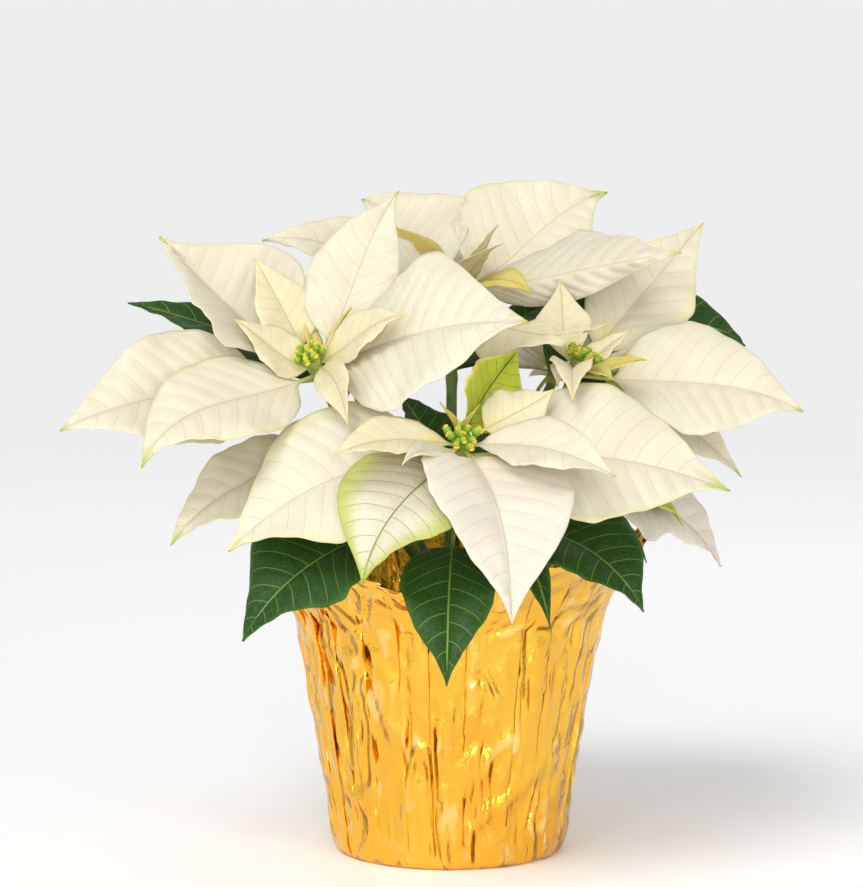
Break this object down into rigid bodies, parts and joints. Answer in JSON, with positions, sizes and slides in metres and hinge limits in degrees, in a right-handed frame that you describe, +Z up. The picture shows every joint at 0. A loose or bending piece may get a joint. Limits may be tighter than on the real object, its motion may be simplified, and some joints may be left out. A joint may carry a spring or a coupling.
{
  "type": "potted white poinsettia",
  "caption": "Potted white poinsettia: cream bracts and dark green leaves on a forked stem, standing in a pot inside a pleated gold foil cover with a wavy skirt.",
  "frame": {"origin": "centre of the flat underside of the foil cover, on the surface it stands on", "axes": "+Z up through the trunk, -Y towards the show side with the largest bracts, +X to the right seen from that side"},
  "size_m": [0.3935, 0.3349, 0.3637],
  "materials": {
    "foil": "gold coloured, pleated and embossed, glossy",
    "pot": "dark brown moulded plastic",
    "peat": "moist peat with perlite, standing in for soil",
    "bark": "young greenish brown bark",
    "leaf": "satin dark green with pale veins",
    "bract": "satin cream with fine veins and green-yellow tips",
    "cyathium": "waxy yellow-green with orange-yellow glands"
  },
  "bodies": {
    "root": {"foil_cover": "foil", "nursery_pot": "pot", "growing_medium": "peat", "trunk": "bark", "branch_left": "leaf", "bracts_left": "bract", "cyathia_left": "cyathium", "branch_front": "leaf", "bracts_front": "bract", "cyathia_front": "cyathium", "branch_right": "leaf", "bracts_right": "bract", "cyathia_right": "cyathium", "branch_top": "leaf", "bracts_top": "bract", "cyathia_top": "cyathium", "branch_back_left": "leaf", "bracts_back_left": "bract", "cyathia_back_left": "cyathium", "branch_back_right": "leaf", "bracts_back_right": "bract", "cyathia_back_right": "cyathium"}
  },
  "joints": []
}
